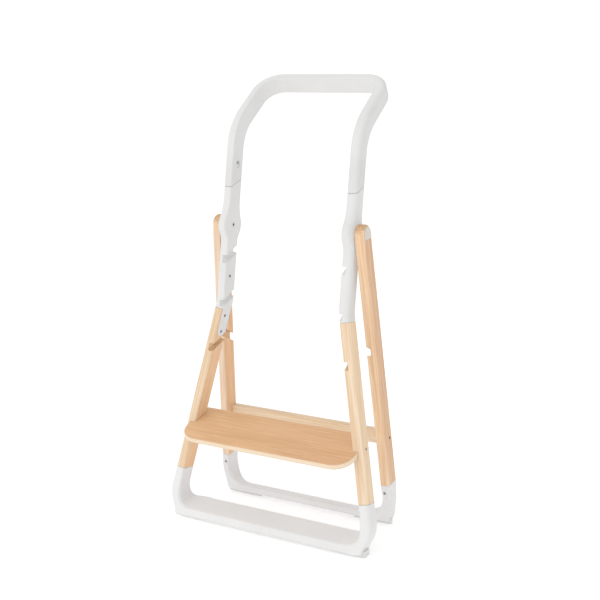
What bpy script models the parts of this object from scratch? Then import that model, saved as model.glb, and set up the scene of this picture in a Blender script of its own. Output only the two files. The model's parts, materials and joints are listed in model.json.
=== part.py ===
"""Slim folding step frame: two leaning U frames hinged at a common cross axis.

Front frame: moulded grab handle, two moulded posts with spare grooves, two
splayed wooden legs, a moulded floor loop and a slanted plywood step board.
Rear frame: two wooden legs, a crossbar and a moulded floor loop.
Units are metres, +Z up, X = 0 is the symmetry plane, the front looks to -Y
and the left side is at -X.
"""
import math

import bmesh
import bpy
from mathutils import Vector

# ---------------------------------------------------------------- driving dimensions
GAP = 0.0003                    # clearance between neighbouring pieces
CHAMFER = 0.0005                # at the ends of the posts, legs and handle

FRONT_SLOPE = 0.1458            # front frame leans back (dY per dZ)
REAR_SLOPE = 0.1354             # rear frame leans forward
FRONT_LEAN = math.atan(FRONT_SLOPE)
REAR_LEAN = math.atan(REAR_SLOPE)
FRONT_Y = -0.044105             # front plane of the front frame at the floor
REAR_Y = 0.159212               # front plane of the rear frame at the floor
PIVOT_Y = 0.083635
PIVOT_Z = 0.733986
PIVOT = Vector((0.0, PIVOT_Y, PIVOT_Z))

POST_HALF = 0.158558            # half distance between the inner faces of the posts
KNEE_Z = 0.551687               # the posts splay outwards below this height
FRONT_SPLAY = 0.2026            # dX per dZ of the front legs
BAR_WIDTH_FRONT = 0.025918      # section width at its front
BAR_WIDTH_BACK = 0.022978       # section width at its back
BAR_DEPTH = 0.044649

JOINT_Z = 0.529254              # post / wooden leg joint
SEAM_Z = 0.82764                # handle / post seam on the front face
SEAM_RISE = math.radians(19.0)  # the seam rises to the back
LEG_END_Z = 0.117612            # wooden leg / floor loop joint

REAR_HALF = 0.186001            # half distance of the rear legs at the pivot
REAR_SPLAY = 0.0592
REAR_WIDTH_FRONT = 0.02276
REAR_WIDTH_BACK = 0.022107
REAR_DEPTH = 0.046283
REAR_FACE = -REAR_DEPTH / 2     # front face of the rear legs, measured from the pivot
REAR_END_Z = 0.103455

BOARD_TILT = math.radians(19.0)
BOARD_Y, BOARD_Z = -0.013068, 0.2386   # a point of the board's top face
BOARD_THICK = 0.012306
BOARD_FRONT, BOARD_BACK = -0.059351, 0.071874
BOARD_HALF = 0.236095

# spare grooves on the inner faces
GROOVE_DEEP = 0.011435
GROOVE_CORNER = 0.003267
POST_GROOVE_ANGLE = math.radians(24.0)
WOOD_GROOVE_ANGLE = math.radians(25.0)

# tenons lie between these distances from the inner face
TENON_NEAR, TENON_FAR = 0.0049, 0.01579
FRONT_TENON_DEPTHS = (0.009801, 0.034848)
FRONT_TENON_LENGTH = 0.028314
REAR_TENON_DEPTHS = (-0.012524, 0.012524)
REAR_TENON_LENGTH = 0.023958

# tongue of the post, let into the wooden leg
TONGUE_Z = 0.459558
TONGUE_MID = 0.023414
TONGUE_WIDTH = 0.037571
TONGUE_THICK = 0.009257

PAD_FACE = 0.184694             # outer face of the round pad around the pivot
WASHER_SEAT = 0.001307          # depth of the washer's seat in the rear leg
BOLT_RADIUS = 0.0040

FRONT_UNDERSIDE, REAR_UNDERSIDE = 0.000762, 0.001634   # undersides of the floor loops
FOOT_DROP = 0.006098            # how far the foot pads reach below the design level

# screw sizes; a negative sink leaves the head standing proud
WOOD_SCREW = dict(head_radius=0.0036, head_height=0.0022, shank_radius=0.0020, sink=0.0006)
HANDLE_SCREW = dict(WOOD_SCREW, head_height=0.0020, sink=-0.0008)
PIVOT_BOLT = dict(head_radius=0.0068, head_height=0.0030, shank_radius=BOLT_RADIUS,
                  sink=0.0002, socket_radius=0.0032, segments=24)

ORIGIN = Vector((0, 0, 0))
X, Y, Z = Vector((1, 0, 0)), Vector((0, 1, 0)), Vector((0, 0, 1))
SIDES = (("left", -1), ("right", 1))

# ---------------------------------------------------------------- finishes
WHITE = (0.86, 0.86, 0.85)
TIMBER = (0.86, 0.62, 0.38)
STEEL = (0.62, 0.62, 0.62)
MOULDED = dict(colour=WHITE, roughness=0.45)
WASHER_WHITE = dict(colour=WHITE, roughness=0.5)
WOOD = dict(colour=TIMBER, roughness=0.5)
PLYWOOD = dict(colour=TIMBER, roughness=0.45)
BOLT_STEEL = dict(colour=STEEL, roughness=0.3, metallic=1.0)
NUT_STEEL = dict(colour=STEEL, roughness=0.35, metallic=1.0)
SCREW_STEEL = dict(colour=(0.16, 0.16, 0.17), roughness=0.35, metallic=1.0)
RUBBER = dict(colour=(0.78, 0.78, 0.77), roughness=0.8)


def material(name, colour, roughness, metallic=0.0):
    mat = bpy.data.materials.new(name)
    mat.use_nodes = True
    shader = mat.node_tree.nodes["Principled BSDF"]
    shader.inputs["Base Color"].default_value = (*colour, 1.0)
    shader.inputs["Roughness"].default_value = roughness
    shader.inputs["Metallic"].default_value = metallic
    return mat


# ---------------------------------------------------------------- scene set-up
for old in list(bpy.data.objects):
    bpy.data.objects.remove(old, do_unlink=True)
parts = bpy.data.collections.new("step_frame")
cutters = bpy.data.collections.new("cutters")
bpy.context.scene.collection.children.link(parts)
bpy.context.scene.collection.children.link(cutters)


# ---------------------------------------------------------------- frames of reference
def front_point(x, depth, up):
    """Front frame: up along the front face, depth behind it."""
    return Vector((x, FRONT_Y + up * math.sin(FRONT_LEAN) + depth * math.cos(FRONT_LEAN),
                   up * math.cos(FRONT_LEAN) - depth * math.sin(FRONT_LEAN)))


def front_up(z):
    """Distance up the front face to a height on it."""
    return z / math.cos(FRONT_LEAN)


KNEE_UP = front_up(KNEE_Z)
SEAM_UP = front_up(SEAM_Z)
SEAM_TAN = math.tan(FRONT_LEAN + SEAM_RISE)
FRONT_SPREAD = math.atan(FRONT_SPLAY * math.cos(FRONT_LEAN))


def front_leg_point(side, out, depth, down):
    """Splayed part of the front frame: down along the leg from the knee."""
    x = POST_HALF + down * math.sin(FRONT_SPREAD) + out * math.cos(FRONT_SPREAD)
    up = KNEE_UP - down * math.cos(FRONT_SPREAD) + out * math.sin(FRONT_SPREAD)
    return front_point(side * x, depth, up)


def front_leg_down(z):
    return (KNEE_Z - z) / math.cos(FRONT_LEAN) / math.cos(FRONT_SPREAD)


PIVOT_OFFSET = PIVOT_Y - (FRONT_Y + FRONT_SLOPE * PIVOT_Z)
PIVOT_DEPTH = PIVOT_OFFSET * math.cos(FRONT_LEAN)
PIVOT_UP = front_up(PIVOT_Z) + PIVOT_OFFSET * math.sin(FRONT_LEAN)
REAR_SPREAD = math.atan(REAR_SPLAY * math.cos(REAR_LEAN))


def rear_point(x, depth, up):
    """Rear frame: measured from the pivot, up along the frame, depth behind the pivot."""
    return Vector((x, PIVOT_Y - up * math.sin(REAR_LEAN) + depth * math.cos(REAR_LEAN),
                   PIVOT_Z + up * math.cos(REAR_LEAN) + depth * math.sin(REAR_LEAN)))


def rear_leg_point(side, out, depth, down):
    x = REAR_HALF + down * math.sin(REAR_SPREAD) + out * math.cos(REAR_SPREAD)
    up = -down * math.cos(REAR_SPREAD) + out * math.sin(REAR_SPREAD)
    return rear_point(side * x, depth, up)


def rear_leg_down(z):
    """Distance down the rear leg to a height on its front face."""
    drop = PIVOT_Z + REAR_FACE * math.sin(REAR_LEAN) - z
    return drop / math.cos(REAR_LEAN) / math.cos(REAR_SPREAD)


def rear_width(depth):
    """Thickness of the rear leg at a depth measured from the pivot."""
    return REAR_WIDTH_FRONT + (REAR_WIDTH_BACK - REAR_WIDTH_FRONT) * (depth - REAR_FACE) / REAR_DEPTH


def outward(leg_point, side):
    """Unit vector square to a leg's inner face, pointing away from X = 0."""
    return leg_point(side, 1, 0, 0) - leg_point(side, 0, 0, 0)


FRONT_BACKWARD = front_point(0, 1, 0) - front_point(0, 0, 0)   # square to the front plane
REAR_BACKWARD = rear_point(0, 1, 0) - rear_point(0, 0, 0)
FRONT_END_DOWN = front_leg_down(LEG_END_Z) - GAP / 2
REAR_END_DOWN = rear_leg_down(REAR_END_Z) - GAP / 2
REAR_OUTER = REAR_HALF + 0.5 * (REAR_WIDTH_FRONT + REAR_WIDTH_BACK)   # X of the outer face


# ---------------------------------------------------------------- outlines
def rounded(corners, radii, steps):
    """Closed outline; each corner with a radius becomes an arc of steps + 1 points."""
    outline = []
    for i, (radius, count) in enumerate(zip(radii, steps)):
        corner = Vector(corners[i])
        before = Vector(corners[i - 1]) - corner
        after = Vector(corners[(i + 1) % len(corners)]) - corner
        if radius <= 0 or count == 0:
            outline.append((corner.x, corner.y))
            continue
        before.normalize()
        after.normalize()
        half = math.acos(max(-1, min(1, before.dot(after)))) / 2
        reach = radius / math.tan(half)
        centre = corner + (before + after).normalized() * (radius / math.sin(half))
        start = corner + before * reach - centre
        end = corner + after * reach - centre
        first = math.atan2(start.y, start.x)
        turn = math.atan2(start.x * end.y - start.y * end.x, start.dot(end))
        for j in range(count + 1):
            angle = first + turn * j / count
            outline.append((centre.x + radius * math.cos(angle),
                            centre.y + radius * math.sin(angle)))
    return outline


def bar_section(inset=0.0):
    """D-like section: flat inner face at x = 0, rounded outer side, front at y = 0."""
    back = BAR_DEPTH - inset
    corners = [(inset, inset), (BAR_WIDTH_FRONT - inset, inset),
               (BAR_WIDTH_BACK - inset, back), (inset, back)]
    return rounded(corners, [0.002178, 0.01089, 0.007079, 0.002178], [1, 5, 3, 1])


def half_circle(centre, radius, first, segments):
    """Half circle about a point of the first axis, starting at an angle."""
    angles = (first + math.pi * k / segments for k in range(segments + 1))
    return [(centre + radius * math.cos(a), radius * math.sin(a)) for a in angles]


def tongue_outline(length, width):
    """Strip with a straight start and a half-round end."""
    radius = width / 2
    end = half_circle(length - radius, radius, -math.pi / 2, 12)
    return [(0.0, -radius)] + end + [(0.0, radius)]


# ---------------------------------------------------------------- mesh helpers
def mesh_object(name, bm, origin, collection):
    mesh = bpy.data.meshes.new(name)
    bm.to_mesh(mesh)
    bm.free()
    ob = bpy.data.objects.new(name, mesh)
    ob.location = origin
    collection.objects.link(ob)
    return ob


def add_part(name, bm, mat, origin=ORIGIN, sharp_angle=35):
    """Smooth-shaded piece with sharp edges above an angle in degrees."""
    bmesh.ops.recalc_face_normals(bm, faces=bm.faces)
    for vert in bm.verts:
        vert.co -= origin
    for face in bm.faces:
        face.smooth = True
    limit = math.radians(sharp_angle)
    for edge in bm.edges:
        if len(edge.link_faces) == 2 and edge.calc_face_angle(0.0) > limit:
            edge.smooth = False
    ob = mesh_object(name, bm, origin, parts)
    ob.data.materials.append(mat)
    return ob


def add_cutter(name, bm):
    bmesh.ops.recalc_face_normals(bm, faces=bm.faces)
    ob = mesh_object(name, bm, ORIGIN, cutters)
    ob.hide_render = True
    ob.display_type = "WIRE"
    return ob


def boolean(ob, helper, operation="DIFFERENCE"):
    mod = ob.modifiers.new(operation.lower() + "_" + helper.name, "BOOLEAN")
    mod.operation = operation
    mod.solver = "EXACT"
    mod.object = helper


def subtract(ob, name, bm):
    boolean(ob, add_cutter(name, bm))


def unite(ob, name, bm):
    boolean(ob, add_cutter(name, bm), "UNION")


def loft(bm, rings, closed=False):
    """Skin between rings of equal length; the ends are capped unless closed."""
    rows = [[bm.verts.new(point) for point in ring] for ring in rings]
    count = len(rows[0])
    for i in range(len(rows) if closed else len(rows) - 1):
        near, far = rows[i], rows[(i + 1) % len(rows)]
        for j in range(count):
            k = (j + 1) % count
            bm.faces.new((near[j], near[k], far[k], far[j]))
    if not closed:
        bm.faces.new(list(reversed(rows[0])))
        bm.faces.new(rows[-1])
    return rows


def lofted(rings, closed=False):
    bm = bmesh.new()
    loft(bm, rings, closed)
    return bm


def prism(bm, outline, place, low, high):
    """Extrude a 2-D outline between two offsets; place(u, v, w) gives the point."""
    loft(bm, [[place(u, v, w) for u, v in outline] for w in (low, high)])


def prism_body(outline, place, low, high):
    bm = bmesh.new()
    prism(bm, outline, place, low, high)
    return bm


def axis_frame(direction):
    """Unit axis and two unit vectors square to it."""
    axis = direction.normalized()
    side = axis.orthogonal().normalized()
    return axis, side, axis.cross(side)


def circle(centre, side, up, radius, segments):
    angles = (2 * math.pi * k / segments for k in range(segments))
    return [centre + side * (radius * math.cos(a)) + up * (radius * math.sin(a)) for a in angles]


def hexagon(centre, side, up, radius, segments):
    """Hexagon resampled so that it skins to a circle of the same segment count."""
    per_side = segments // 6
    corners = [(radius * math.cos(math.pi / 3 * k), radius * math.sin(math.pi / 3 * k))
               for k in range(6)]
    points = []
    for k in range(6):
        (u0, v0), (u1, v1) = corners[k], corners[(k + 1) % 6]
        for j in range(per_side):
            part = j / per_side
            points.append(centre + side * (u0 + (u1 - u0) * part) + up * (v0 + (v1 - v0) * part))
    return points


def turned(bm, start, direction, profile, segments=24):
    """Turned body: profile is a list of (distance along the axis, radius)."""
    axis, side, up = axis_frame(direction)
    loft(bm, [circle(start + axis * along, side, up, radius, segments)
              for along, radius in profile])


def turned_body(start, direction, profile, segments=24):
    bm = bmesh.new()
    turned(bm, start, direction, profile, segments)
    return bm


# ---------------------------------------------------------------- screws
def screw_body(start, direction, length, head_radius, head_height, shank_radius, sink,
               socket_radius=0.0021, segments=12):
    """Round head with a hexagon socket on a plain shank; sink is the head's depth."""
    axis, side, up = axis_frame(direction)
    under_head = sink + head_height
    profile = [(hexagon, sink + head_height * 0.62, socket_radius),
               (hexagon, sink, socket_radius),
               (circle, sink, head_radius - 0.0005),
               (circle, sink + 0.0004, head_radius),
               (circle, under_head, head_radius),
               (circle, under_head, shank_radius),
               (circle, length - 0.0006, shank_radius),
               (circle, length, shank_radius - 0.0006)]
    return lofted([shape(start + axis * along, side, up, radius, segments)
                   for shape, along, radius in profile])


def add_screw(name, hole_bm, start, direction, length, origin=ORIGIN, overrun=0.004,
              sizes=WOOD_SCREW):
    """Make a screw and add its clearance hole to hole_bm."""
    head = sizes["head_radius"] + GAP
    shank = sizes["shank_radius"] + GAP
    shoulder = sizes["sink"] + sizes["head_height"] + GAP
    turned(hole_bm, start, direction,
           [(-overrun, head), (shoulder, head), (shoulder, shank), (length + GAP, shank)], 12)
    add_part(name, screw_body(start, direction, length, **sizes),
             material(name + "_steel", **SCREW_STEEL), origin)


# ---------------------------------------------------------------- shared leg details
def end_tenon(bm, leg_point, side, depths, end_down, length, grow=0.0):
    """Tenon below a wooden leg's end, or its socket when grown by the clearance."""
    front, back = depths[0] - grow, depths[1] + grow
    root, tip = end_down - 0.01089, end_down + length + grow
    outline = rounded([(front, root), (back, root), (back, tip), (front, tip)],
                      [0, 0, 0.003267, 0.003267], [0, 0, 3, 3])
    prism(bm, outline, lambda depth, down, out: leg_point(side, out, depth, down),
          TENON_NEAR - grow, TENON_FAR + grow)


def wood_groove(leg_point, side, face, leg_depth, top, bottom, slope):
    """Slanted groove in a leg's inner face, rounded where its floor meets its walls.

    top and bottom are distances down the leg at its front face, slope is the fall
    to the back.
    """
    overrun = 0.02178
    height = bottom - top
    section = rounded([(-0.02, 0.0), (GROOVE_DEEP, 0.0), (GROOVE_DEEP, height), (-0.02, height)],
                      [0, GROOVE_CORNER, GROOVE_CORNER, 0], [0, 4, 4, 0])
    return lofted([[leg_point(side, out, face + depth, top + down + depth * slope)
                    for out, down in section]
                   for depth in (-overrun, leg_depth + overrun)])


# ---------------------------------------------------------------- handle
BEND_CORNER = Vector((0.09899, 0.981189))   # Y, Z of the front line's corner
BEND_RADIUS = 0.14157
GRIP_DIRECTION = (0.809, 0.588)             # Y, Z direction of the sloping part
GRIP_LENGTH = 0.18121                       # from the bend corner to the cross bar
GRIP_CORNER = 0.041382                      # inner corner radius of the handle
BEND_STEPS = GRIP_STEPS = 12
POST_TENON_DEPTHS = (0.008712, 0.034848)
POST_TENON_TOP = SEAM_UP + 0.078408
RECESS_DEEP = 0.001525                      # oval recess around the handle screw
RECESS_LENGTH, RECESS_WIDTH = 0.017969, 0.012524
RECESS_ABOVE = 0.005445                     # from the screw to the recess's upper end
HANDLE_SCREW_UP = front_up(0.884268) + 0.023631 * math.sin(FRONT_LEAN)
HANDLE_SCREW_DEPTH = 0.022869
HANDLE_SCREW_LENGTH = 0.013613


def handle_rings():
    """Rings of the left half, from the seam up to the middle of the cross bar."""
    lower = Vector((math.sin(FRONT_LEAN), math.cos(FRONT_LEAN)))
    upper = Vector(GRIP_DIRECTION).normalized()
    turn = lower.angle(upper)
    arc_start = BEND_CORNER - lower * (BEND_RADIUS * math.tan(turn / 2))
    arc_centre = arc_start + Vector((lower.y, -lower.x)) * BEND_RADIUS
    seam = SEAM_UP + GAP / 2

    # the end face follows the rising seam, with a small chamfer
    rings = [[front_point(-(POST_HALF + out), depth, seam + lift + depth * SEAM_TAN)
              for out, depth in bar_section(inset)]
             for inset, lift in ((CHAMFER, 0.0), (0.0, CHAMFER))]

    stations = []          # (inner front point, outward vector, backward vector)
    for up in (seam + 0.03267, seam + 0.059895, arc_start.y / math.cos(FRONT_LEAN)):
        point = front_point(0, 0, up)
        stations.append((Vector((-POST_HALF, point.y, point.z)), -X,
                         Vector((0, lower.y, -lower.x))))
    for k in range(1, BEND_STEPS + 1):
        angle = FRONT_LEAN + turn * k / BEND_STEPS
        tangent = Vector((math.sin(angle), math.cos(angle)))
        point = arc_centre + Vector((-tangent.y, tangent.x)) * BEND_RADIUS
        stations.append((Vector((-POST_HALF, point.x, point.y)), -X,
                         Vector((0, tangent.y, -tangent.x))))

    # corner between the sloping part and the cross bar
    backward = Vector((0, upper.y, -upper.x))
    along = Vector((0, upper.x, upper.y))
    centre = (Vector((0, BEND_CORNER.x, BEND_CORNER.y)) + along * (GRIP_LENGTH - GRIP_CORNER)
              + Vector((-(POST_HALF - GRIP_CORNER), 0, 0)))
    for k in range(GRIP_STEPS + 1):
        angle = math.pi / 2 * k / GRIP_STEPS
        out = Vector((-math.cos(angle), 0, 0)) + along * math.sin(angle)
        stations.append((centre + out * GRIP_CORNER, out, backward))
    for point, out, back in stations:
        rings.append([point + out * u + back * v for u, v in bar_section()])
    return rings


def mirrored(rings):
    """The same rings on the other side of X = 0, in reverse order."""
    return [[Vector((-p.x, p.y, p.z)) for p in ring] for ring in reversed(rings)]


def post_tenon(bm, side, grow, bottom):
    """Tenon on top of a post, or its socket when grown by the clearance."""
    front, back = POST_TENON_DEPTHS[0] - grow, POST_TENON_DEPTHS[1] + grow
    top = POST_TENON_TOP + grow
    outline = rounded([(front, bottom), (back, bottom), (back, top), (front, top)],
                      [0, 0, 0.004356, 0.004356], [0, 0, 3, 3])
    prism(bm, outline, lambda depth, up, x: front_point(side * x, depth, up),
          POST_HALF + TENON_NEAR - grow, POST_HALF + TENON_FAR + grow)


def build_handle():
    """Make the handle and its screws; return the cutter of the screw holes."""
    half = handle_rings()
    handle = add_part("handle", lofted(half + mirrored(half)),
                      material("handle_white", **MOULDED))
    sockets, recesses, holes = bmesh.new(), bmesh.new(), bmesh.new()
    radius = RECESS_WIDTH / 2
    oval = (half_circle(RECESS_LENGTH - radius, radius, -math.pi / 2, 8)
            + half_circle(radius, radius, math.pi / 2, 8))
    outline = [(HANDLE_SCREW_DEPTH + v, HANDLE_SCREW_UP + RECESS_ABOVE - u) for u, v in oval]
    for label, side in SIDES:
        post_tenon(sockets, side, GAP, SEAM_UP - 0.02178)
        prism(recesses, outline, lambda depth, up, x: front_point(side * x, depth, up),
              POST_HALF - 0.01, POST_HALF + RECESS_DEEP)
        start = front_point(side * (POST_HALF + RECESS_DEEP), HANDLE_SCREW_DEPTH, HANDLE_SCREW_UP)
        add_screw(label + "_handle_screw", holes, start, X * side, HANDLE_SCREW_LENGTH,
                  sizes=HANDLE_SCREW)
    subtract(handle, "cut_handle_sockets", sockets)
    subtract(handle, "cut_handle_recess", recesses)
    hole_cutter = add_cutter("cut_handle_screws", holes)
    boolean(handle, hole_cutter)
    return hole_cutter


# ---------------------------------------------------------------- front posts
BOSS_RADIUS = 0.038115          # round boss of the post around the pivot
BOSS_FILLET_LOW, BOSS_FILLET_UP = 0.03267, 0.092565
BOSS_BELOW, BOSS_ABOVE = 0.060984, 0.084942   # extent of the boss rings about the pivot
BOSS_STEPS = 22
KNEE_REACH = 0.01089            # half length of the rounded knee
POST_GROOVES = ((0.641421, 0.660696), (0.534046, KNEE_Z))   # lower, upper Z at the front
PAD_RADIUS = 0.014702
PAD_ROOT = POST_HALF + 0.01089
POST_SCREW_DEPTH = 0.020147
POST_SCREW_UP = front_up(0.607662) + POST_SCREW_DEPTH * math.sin(FRONT_LEAN)
POST_SCREW_LENGTH = 0.014157
TONGUE_SCREWS = (("upper", 0.51183), ("lower", 0.471537))   # name, Z
TONGUE_SCREW_DEPTH = 0.021562
TONGUE_SCREW_LENGTH = 0.01688


def boss_bulge(rise, reach):
    """Bulge of the boss beyond a straight face at reach from the pivot."""
    fillet = BOSS_FILLET_UP if rise > 0 else BOSS_FILLET_LOW
    away = abs(rise)
    span = math.sqrt((BOSS_RADIUS + fillet) ** 2 - (reach + fillet) ** 2)
    touch = span * BOSS_RADIUS / (BOSS_RADIUS + fillet)
    if away >= span:
        return 0.0
    if away <= touch:
        return math.sqrt(BOSS_RADIUS ** 2 - away ** 2) - reach
    return fillet - math.sqrt(fillet ** 2 - (span - away) ** 2)


def post_rings(side, end_down):
    """Rings of a post from its lower end up to the seam."""
    # the lower end lies square to the splayed leg
    rings = [[front_leg_point(side, out, depth, end_down - lift)
              for out, depth in bar_section(inset)]
             for inset, lift in ((CHAMFER, 0.0), (0.0, CHAMFER))]
    # rounded knee, its arc centre on the inner side
    rings.append([front_leg_point(side, out, depth, KNEE_REACH) for out, depth in bar_section()])
    knee_radius = KNEE_REACH / math.tan(FRONT_SPREAD / 2)
    for k in (1, 2, 3):
        angle = FRONT_SPREAD * (1 - k / 4)
        x = POST_HALF + knee_radius * (1 - math.cos(angle))
        up = KNEE_UP + KNEE_REACH - knee_radius * math.sin(angle)
        rings.append([front_point(side * (x + out * math.cos(angle)), depth,
                                  up + out * math.sin(angle)) for out, depth in bar_section()])
    # straight part, widened around the pivot
    low, high = PIVOT_UP - BOSS_BELOW, PIVOT_UP + BOSS_ABOVE
    levels = [KNEE_UP + KNEE_REACH]
    levels += [low + (high - low) * k / BOSS_STEPS for k in range(BOSS_STEPS + 1)]
    for up in levels:
        ahead = boss_bulge(up - PIVOT_UP, PIVOT_DEPTH)
        behind = boss_bulge(up - PIVOT_UP, BAR_DEPTH - PIVOT_DEPTH)
        stretch = (BAR_DEPTH + ahead + behind) / BAR_DEPTH
        rings.append([front_point(side * (POST_HALF + out), -ahead + depth * stretch, up)
                      for out, depth in bar_section()])
    top = SEAM_UP - GAP / 2
    for inset, drop in ((0.0, CHAMFER), (CHAMFER, 0.0)):
        rings.append([front_point(side * (POST_HALF + out), depth, top - drop + depth * SEAM_TAN)
                      for out, depth in bar_section(inset)])
    return rings


def post_groove_body(side):
    """Grooves across the inner face, rising to the back."""
    bm = bmesh.new()
    slope = math.tan(FRONT_LEAN + POST_GROOVE_ANGLE)
    front, back = -0.03267, BAR_DEPTH + 0.03267
    for z_low, z_high in POST_GROOVES:
        low, high = front_up(z_low), front_up(z_high)
        outline = [(front, low + front * slope), (back, low + back * slope),
                   (back, high + back * slope), (front, high + front * slope)]
        prism(bm, outline, lambda depth, up, x: front_point(side * x, depth, up),
              POST_HALF - 0.02, POST_HALF + GROOVE_DEEP)
    return bm


def build_post(label, side, handle_screw_cutter):
    """Make a post and its screws; return the cutter of the tongue's screw holes."""
    end_down = front_leg_down(JOINT_Z) - GAP / 2
    post = add_part(label + "_front_post", lofted(post_rings(side, end_down)),
                    material(label + "_post_white", **MOULDED))

    # upper tenon for the handle, round pad towards the rear leg, tongue into the wooden leg
    bm = bmesh.new()
    post_tenon(bm, side, 0.0, SEAM_UP - 0.013068)
    unite(post, "add_%s_tenon" % label, bm)
    pad_length = PAD_FACE - PAD_ROOT
    unite(post, "add_%s_pad" % label, turned_body(
        front_point(side * PAD_ROOT, PIVOT_DEPTH, PIVOT_UP), X * side,
        [(0, PAD_RADIUS), (pad_length - 0.0006, PAD_RADIUS), (pad_length, PAD_RADIUS - 0.0006)],
        32))
    root = end_down - 0.004356
    unite(post, "add_%s_tongue" % label, prism_body(
        tongue_outline(front_leg_down(TONGUE_Z) - root, TONGUE_WIDTH),
        lambda u, v, out: front_leg_point(side, out, TONGUE_MID + v, root + u),
        0.00005, TONGUE_THICK))
    subtract(post, "cut_%s_post_grooves" % label, post_groove_body(side))

    # pivot bore with a counterbore on the inner face
    bore = BOLT_RADIUS + 0.00005
    subtract(post, "cut_%s_post_bore" % label, turned_body(
        front_point(side * POST_HALF, PIVOT_DEPTH, PIVOT_UP), X * side,
        [(-0.01, 0.0072), (0.0036, 0.0072), (0.0036, bore), (0.05, bore)]))

    # one screw in the post, two in the tongue
    bm = bmesh.new()
    add_screw(label + "_post_screw", bm,
              front_point(side * POST_HALF, POST_SCREW_DEPTH, POST_SCREW_UP),
              X * side, POST_SCREW_LENGTH)
    subtract(post, "cut_%s_post_screw" % label, bm)
    bm = bmesh.new()
    for word, z in TONGUE_SCREWS:
        start = front_leg_point(side, 0, TONGUE_SCREW_DEPTH, front_leg_down(z))
        add_screw("%s_%s_tongue_screw" % (label, word), bm, start,
                  outward(front_leg_point, side), TONGUE_SCREW_LENGTH)
    tongue_cutter = add_cutter("cut_%s_tongue_screws" % label, bm)
    boolean(post, tongue_cutter)
    # the handle's screw bites into the tenon
    boolean(post, handle_screw_cutter)
    return tongue_cutter


# ---------------------------------------------------------------- front wooden legs
FRONT_GROOVE = (0.421443, 0.441045)   # lower and upper Z at the front face


def build_front_leg(label, side, tongue_cutter):
    top = front_leg_down(JOINT_Z) + GAP / 2
    end = FRONT_END_DOWN
    rings = [[front_leg_point(side, out, depth, down) for out, depth in bar_section(inset)]
             for inset, down in ((CHAMFER, top), (0.0, top + CHAMFER),
                                 (0.0, end - CHAMFER), (CHAMFER, end))]
    leg = add_part(label + "_front_leg", lofted(rings),
                   material(label + "_front_leg_wood", **WOOD))
    bm = bmesh.new()
    end_tenon(bm, front_leg_point, side, FRONT_TENON_DEPTHS, end, FRONT_TENON_LENGTH)
    unite(leg, "add_%s_front_tenon" % label, bm)
    # pocket for the tongue
    mouth = top - 0.01089
    subtract(leg, "cut_%s_pocket" % label, prism_body(
        tongue_outline(front_leg_down(TONGUE_Z) + GAP - mouth, TONGUE_WIDTH + 2 * GAP),
        lambda u, v, out: front_leg_point(side, out, TONGUE_MID + v, mouth + u),
        -0.01, TONGUE_THICK + GAP))
    bottom, upper = (front_leg_down(z) for z in FRONT_GROOVE)
    rise = math.tan(FRONT_LEAN + WOOD_GROOVE_ANGLE) / math.cos(FRONT_SPREAD)
    subtract(leg, "cut_%s_wood_groove" % label,
             wood_groove(front_leg_point, side, 0.0, BAR_DEPTH, upper, bottom, -rise))
    boolean(leg, tongue_cutter)
    return leg


# ---------------------------------------------------------------- step board
BOARD_CORNER_FRONT, BOARD_CORNER_BACK = 0.049005, 0.013068
BOARD_EDGE = 0.0016             # rounding of the board's edges
BOARD_SCREW_X, BOARD_SCREW_Y = 0.244263, 0.015246
BOARD_ALONG = Vector((0, math.cos(BOARD_TILT), math.sin(BOARD_TILT)))
BOARD_NORMAL = Vector((0, -math.sin(BOARD_TILT), math.cos(BOARD_TILT)))


def board_point(x, along, above):
    return (Vector((0, BOARD_Y, BOARD_Z)) + X * x + BOARD_ALONG * along
            + BOARD_NORMAL * above)


def board_outline(inset):
    side, front, back = BOARD_HALF - inset, BOARD_FRONT + inset, BOARD_BACK - inset
    corner = BOARD_CORNER_FRONT - inset
    return rounded([(-side, back), (-side, front), (side, front), (side, back)],
                   [BOARD_CORNER_BACK, corner, corner, BOARD_CORNER_BACK], [4, 12, 12, 4])


def build_board(front_legs):
    edge, part = BOARD_EDGE, BOARD_EDGE * 0.3
    layers = ((edge, 0.0), (part, -part), (0.0, -edge),
              (0.0, -BOARD_THICK + edge), (part, -BOARD_THICK + part), (edge, -BOARD_THICK))
    board = add_part("step_board", lofted([[board_point(x, along, above)
                                            for x, along in board_outline(inset)]
                                           for inset, above in layers]),
                     material("board_plywood", **PLYWOOD))
    front, back = BOARD_FRONT - 0.02, BOARD_BACK + 0.02
    under = -BOARD_THICK - GAP
    section = [(front, GAP), (back, GAP), (back, under), (front, under)]
    screw_z = (BOARD_Z + (BOARD_SCREW_Y - BOARD_Y) * math.tan(BOARD_TILT)
               - 0.5 * BOARD_THICK / math.cos(BOARD_TILT))
    for label, side in SIDES:
        leg = front_legs[label]
        subtract(leg, "cut_%s_board_groove" % label, lofted(
            [[board_point(side * x, along, above) for along, above in section]
             for x in (0.10, BOARD_HALF + 0.0006)]))
        # screw through the leg into the end of the board
        bm = bmesh.new()
        add_screw(label + "_board_screw", bm,
                  Vector((side * BOARD_SCREW_X, BOARD_SCREW_Y, screw_z)), X * -side, 0.030,
                  overrun=0.01)
        cutter = add_cutter("cut_%s_board_screw" % label, bm)
        boolean(leg, cutter)
        boolean(board, cutter)


# ---------------------------------------------------------------- floor loops
# corner radii of the section: inner front, outer front, outer back, inner back
LOOP_ARM_RADII = (0.002178, 0.009257, 0.005445, 0.002178)
LOOP_BAR_RADII = (0.00196, 0.003267, 0.002723, 0.00196)

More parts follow.
